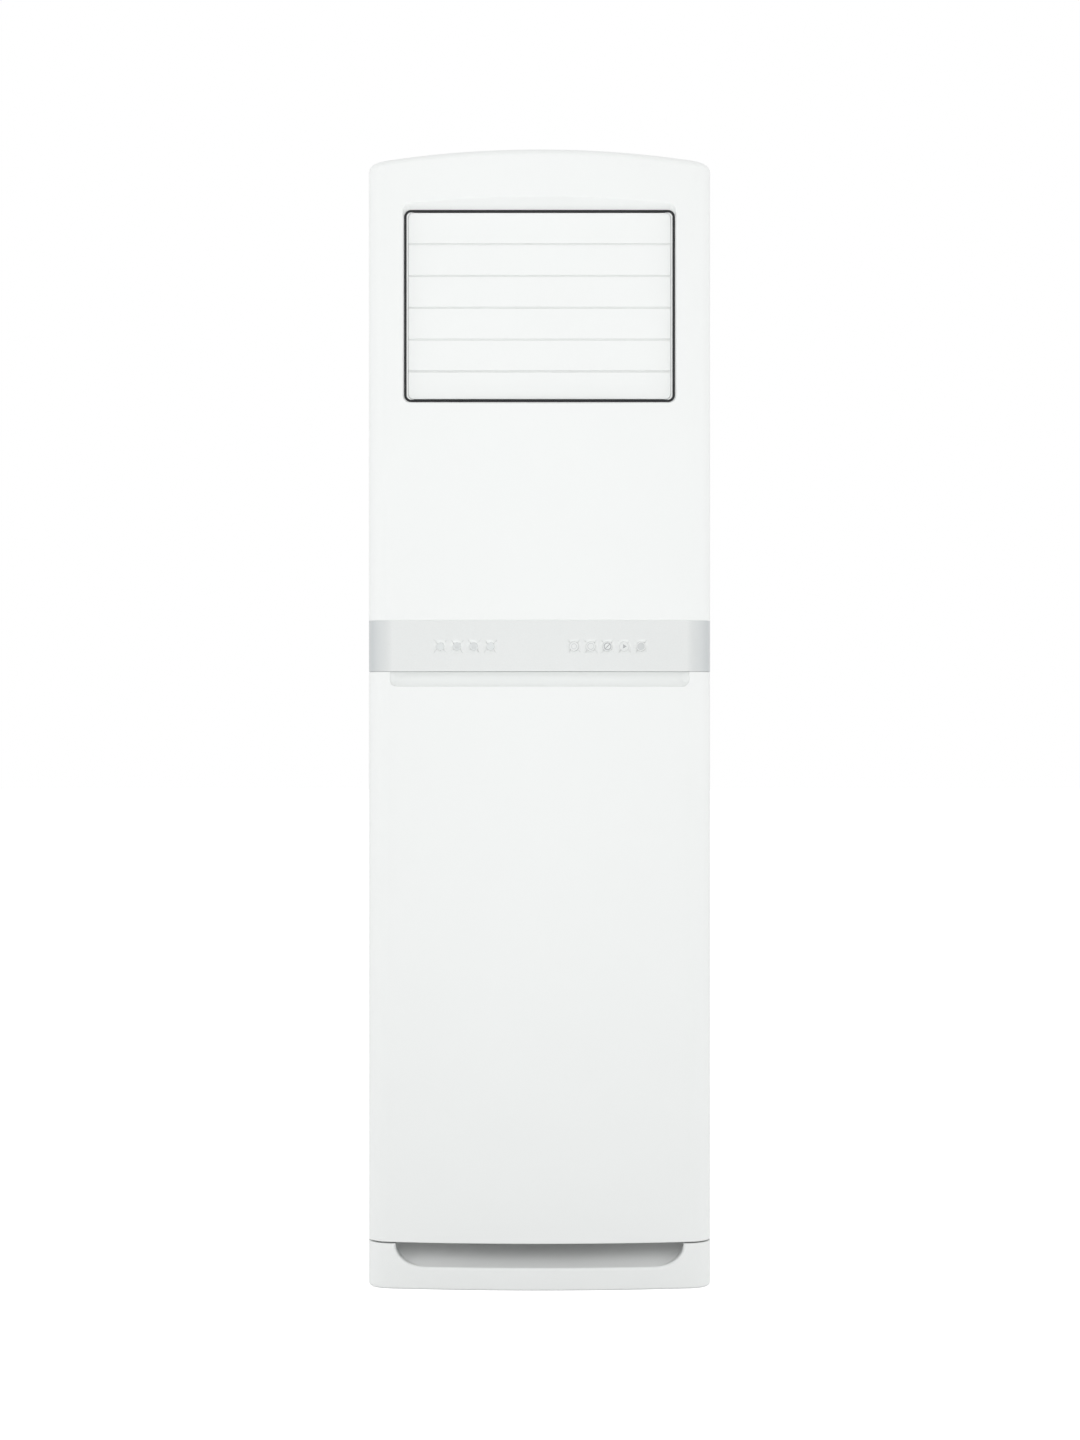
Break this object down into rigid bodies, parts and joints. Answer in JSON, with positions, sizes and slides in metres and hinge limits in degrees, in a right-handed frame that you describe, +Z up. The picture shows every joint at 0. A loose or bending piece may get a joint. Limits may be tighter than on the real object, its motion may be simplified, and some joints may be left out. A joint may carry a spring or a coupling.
{
  "type": "floor standing air conditioner",
  "caption": "Tall white floor standing air conditioner indoor unit with a bowed front, louvered air outlet, silver control band and tilting lower panel over filter and blower.",
  "frame": {"origin": "on the floor under the middle of the case's box", "axes": "+Z up, the front faces -Y, +X is to the right seen from the front"},
  "size_m": [0.5, 0.31, 1.655],
  "materials": {
    "white_moulding": "white moulded ABS with a soft gloss",
    "white_steel": "white powder coated steel sheet",
    "silver_moulding": "light silver painted moulding",
    "key_silver": "light silver painted key caps",
    "lens": "translucent grey indicator lenses",
    "dark_trim": "dark grey moulded ring",
    "dark_moulding": "dark grey ABS of the upright vanes and link bars",
    "galvanised": "galvanised steel sheet",
    "hardware": "zinc plated steel",
    "foam": "expanded polystyrene",
    "fins": "bare aluminium fins",
    "copper": "bare copper tube",
    "union_brass": "forged brass",
    "blower": "dark grey glass filled plastic",
    "motor": "grey painted steel shell",
    "mesh": "grey filter frame and mesh",
    "board": "green circuit board",
    "terminal": "cream terminal block",
    "rubber": "black rubber",
    "hose": "grey flexible drain tube",
    "magnet": "black plastic housed magnets"
  },
  "bodies": {
    "cabinet": {"base_pan": "white_steel", "base_skirt": "white_moulding", "side_panel_left": "white_steel", "side_panel_right": "white_steel", "back_panel": "white_steel", "front_frame": "galvanised", "top_cap": "white_moulding", "upper_front": "white_moulding", "control_band": "silver_moulding", "catch_magnets": "magnet", "hinge_brackets": "hardware", "indicator_lenses": "lens", "display_board": "board", "outlet_trim": "dark_trim", "louver_frame": "white_moulding", "louver_motor": "hardware", "vane_motor": "hardware", "outlet_duct": "foam", "coil_fins": "fins", "coil_tubes": "copper", "drain_pan": "foam", "fan_deck": "galvanised", "drain_hose": "hose", "gas_pipe": "copper", "liquid_pipe": "copper", "pipe_unions": "union_brass", "volute": "galvanised", "inlet_plate": "galvanised", "fan_motor": "motor", "motor_bracket": "galvanised", "air_filter": "mesh", "electrical_box": "galvanised", "electrical_cover": "galvanised", "terminal_block": "terminal", "pipe_grommet": "rubber", "case_screws": "hardware"},
    "louver_1_body": {"louver_1": "white_moulding"},
    "louver_2_body": {"louver_2": "white_moulding"},
    "louver_3_body": {"louver_3": "white_moulding"},
    "louver_4_body": {"louver_4": "white_moulding"},
    "louver_5_body": {"louver_5": "white_moulding"},
    "louver_6_body": {"louver_6": "white_moulding"},
    "louver_link_body": {"louver_link": "dark_moulding"},
    "vane_1_body": {"vane_1": "dark_moulding"},
    "vane_2_body": {"vane_2": "dark_moulding"},
    "vane_3_body": {"vane_3": "dark_moulding"},
    "vane_4_body": {"vane_4": "dark_moulding"},
    "vane_5_body": {"vane_5": "dark_moulding"},
    "vane_6_body": {"vane_6": "dark_moulding"},
    "vane_7_body": {"vane_7": "dark_moulding"},
    "vane_link_body": {"vane_link": "dark_moulding"},
    "blower": {"fan_wheel": "blower", "motor_shaft": "hardware"},
    "door": {"lower_panel": "white_moulding", "catch_keepers": "hardware"},
    "key_1_body": {"key_1": "key_silver"},
    "key_2_body": {"key_2": "key_silver"},
    "key_3_body": {"key_3": "key_silver"},
    "key_4_body": {"key_4": "key_silver"},
    "key_5_body": {"key_5": "key_silver"}
  },
  "joints": [
    {"name": "louver_1_tilt", "type": "hinge", "parent": "cabinet", "child": "louver_1_body", "pos_m": [0, -0.1215, 1.54325], "axis": [-1, 0, 0], "range_deg": [0, 100]},
    {"name": "louver_2_tilt", "type": "hinge", "parent": "cabinet", "child": "louver_2_body", "pos_m": [0, -0.1215, 1.49695], "axis": [-1, 0, 0], "range_deg": [0, 100]},
    {"name": "louver_3_tilt", "type": "hinge", "parent": "cabinet", "child": "louver_3_body", "pos_m": [0, -0.1215, 1.45065], "axis": [-1, 0, 0], "range_deg": [0, 100]},
    {"name": "louver_4_tilt", "type": "hinge", "parent": "cabinet", "child": "louver_4_body", "pos_m": [0, -0.1215, 1.40435], "axis": [-1, 0, 0], "range_deg": [0, 100]},
    {"name": "louver_5_tilt", "type": "hinge", "parent": "cabinet", "child": "louver_5_body", "pos_m": [0, -0.1215, 1.35805], "axis": [-1, 0, 0], "range_deg": [0, 100]},
    {"name": "louver_6_tilt", "type": "hinge", "parent": "cabinet", "child": "louver_6_body", "pos_m": [0, -0.1215, 1.31175], "axis": [-1, 0, 0], "range_deg": [0, 100]},
    {"name": "louver_link_turn", "type": "hinge", "parent": "louver_1_body", "child": "louver_link_body", "pos_m": [0.2, -0.11379, 1.55244], "axis": [-1, 0, 0], "range_deg": [-100, 0]},
    {"name": "vane_1_turn", "type": "hinge", "parent": "cabinet", "child": "vane_1_body", "pos_m": [-0.144, -0.0765, 1.43], "axis": [0, 0, 1], "range_deg": [-40, 40]},
    {"name": "vane_2_turn", "type": "hinge", "parent": "cabinet", "child": "vane_2_body", "pos_m": [-0.096, -0.0765, 1.43], "axis": [0, 0, 1], "range_deg": [-40, 40]},
    {"name": "vane_3_turn", "type": "hinge", "parent": "cabinet", "child": "vane_3_body", "pos_m": [-0.048, -0.0765, 1.43], "axis": [0, 0, 1], "range_deg": [-40, 40]},
    {"name": "vane_4_turn", "type": "hinge", "parent": "cabinet", "child": "vane_4_body", "pos_m": [0, -0.0765, 1.43], "axis": [0, 0, 1], "range_deg": [-40, 40]},
    {"name": "vane_5_turn", "type": "hinge", "parent": "cabinet", "child": "vane_5_body", "pos_m": [0.048, -0.0765, 1.43], "axis": [0, 0, 1], "range_deg": [-40, 40]},
    {"name": "vane_6_turn", "type": "hinge", "parent": "cabinet", "child": "vane_6_body", "pos_m": [0.096, -0.0765, 1.43], "axis": [0, 0, 1], "range_deg": [-40, 40]},
    {"name": "vane_7_turn", "type": "hinge", "parent": "cabinet", "child": "vane_7_body", "pos_m": [0.144, -0.0765, 1.43], "axis": [0, 0, 1], "range_deg": [-40, 40]},
    {"name": "vane_link_turn", "type": "hinge", "parent": "vane_1_body", "child": "vane_link_body", "pos_m": [-0.144, -0.0645, 1.282], "axis": [0, 0, 1], "range_deg": [-40, 40]},
    {"name": "blower_spin", "type": "hinge", "parent": "cabinet", "child": "blower", "pos_m": [-0.02, 0.05, 0.43], "axis": [0, -1, 0], "continuous": true},
    {"name": "door_tilt", "type": "hinge", "parent": "cabinet", "child": "door", "pos_m": [0, -0.14, 0.077], "axis": [1, 0, 0], "range_deg": [0, 30]},
    {"name": "key_1_press", "type": "slide", "parent": "cabinet", "child": "key_1_body", "axis": [0, 1, 0], "range_m": [0, 0.0008], "stiffness_N_per_m": 1500, "springref_m": -0.0002},
    {"name": "key_2_press", "type": "slide", "parent": "cabinet", "child": "key_2_body", "axis": [0, 1, 0], "range_m": [0, 0.0008], "stiffness_N_per_m": 1500, "springref_m": -0.0002},
    {"name": "key_3_press", "type": "slide", "parent": "cabinet", "child": "key_3_body", "axis": [0, 1, 0], "range_m": [0, 0.0008], "stiffness_N_per_m": 1500, "springref_m": -0.0002},
    {"name": "key_4_press", "type": "slide", "parent": "cabinet", "child": "key_4_body", "axis": [0, 1, 0], "range_m": [0, 0.0008], "stiffness_N_per_m": 1500, "springref_m": -0.0002},
    {"name": "key_5_press", "type": "slide", "parent": "cabinet", "child": "key_5_body", "axis": [0, 1, 0], "range_m": [0, 0.0008], "stiffness_N_per_m": 1500, "springref_m": -0.0002}
  ],
  "couplings": [
    {"joint": "louver_2_tilt", "follows": "louver_1_tilt", "ratio": 1},
    {"joint": "louver_3_tilt", "follows": "louver_1_tilt", "ratio": 1},
    {"joint": "louver_4_tilt", "follows": "louver_1_tilt", "ratio": 1},
    {"joint": "louver_5_tilt", "follows": "louver_1_tilt", "ratio": 1},
    {"joint": "louver_6_tilt", "follows": "louver_1_tilt", "ratio": 1},
    {"joint": "louver_link_turn", "follows": "louver_1_tilt", "ratio": -1},
    {"joint": "vane_2_turn", "follows": "vane_1_turn", "ratio": 1},
    {"joint": "vane_3_turn", "follows": "vane_1_turn", "ratio": 1},
    {"joint": "vane_4_turn", "follows": "vane_1_turn", "ratio": 1},
    {"joint": "vane_5_turn", "follows": "vane_1_turn", "ratio": 1},
    {"joint": "vane_6_turn", "follows": "vane_1_turn", "ratio": 1},
    {"joint": "vane_7_turn", "follows": "vane_1_turn", "ratio": 1},
    {"joint": "vane_link_turn", "follows": "vane_1_turn", "ratio": -1}
  ]
}
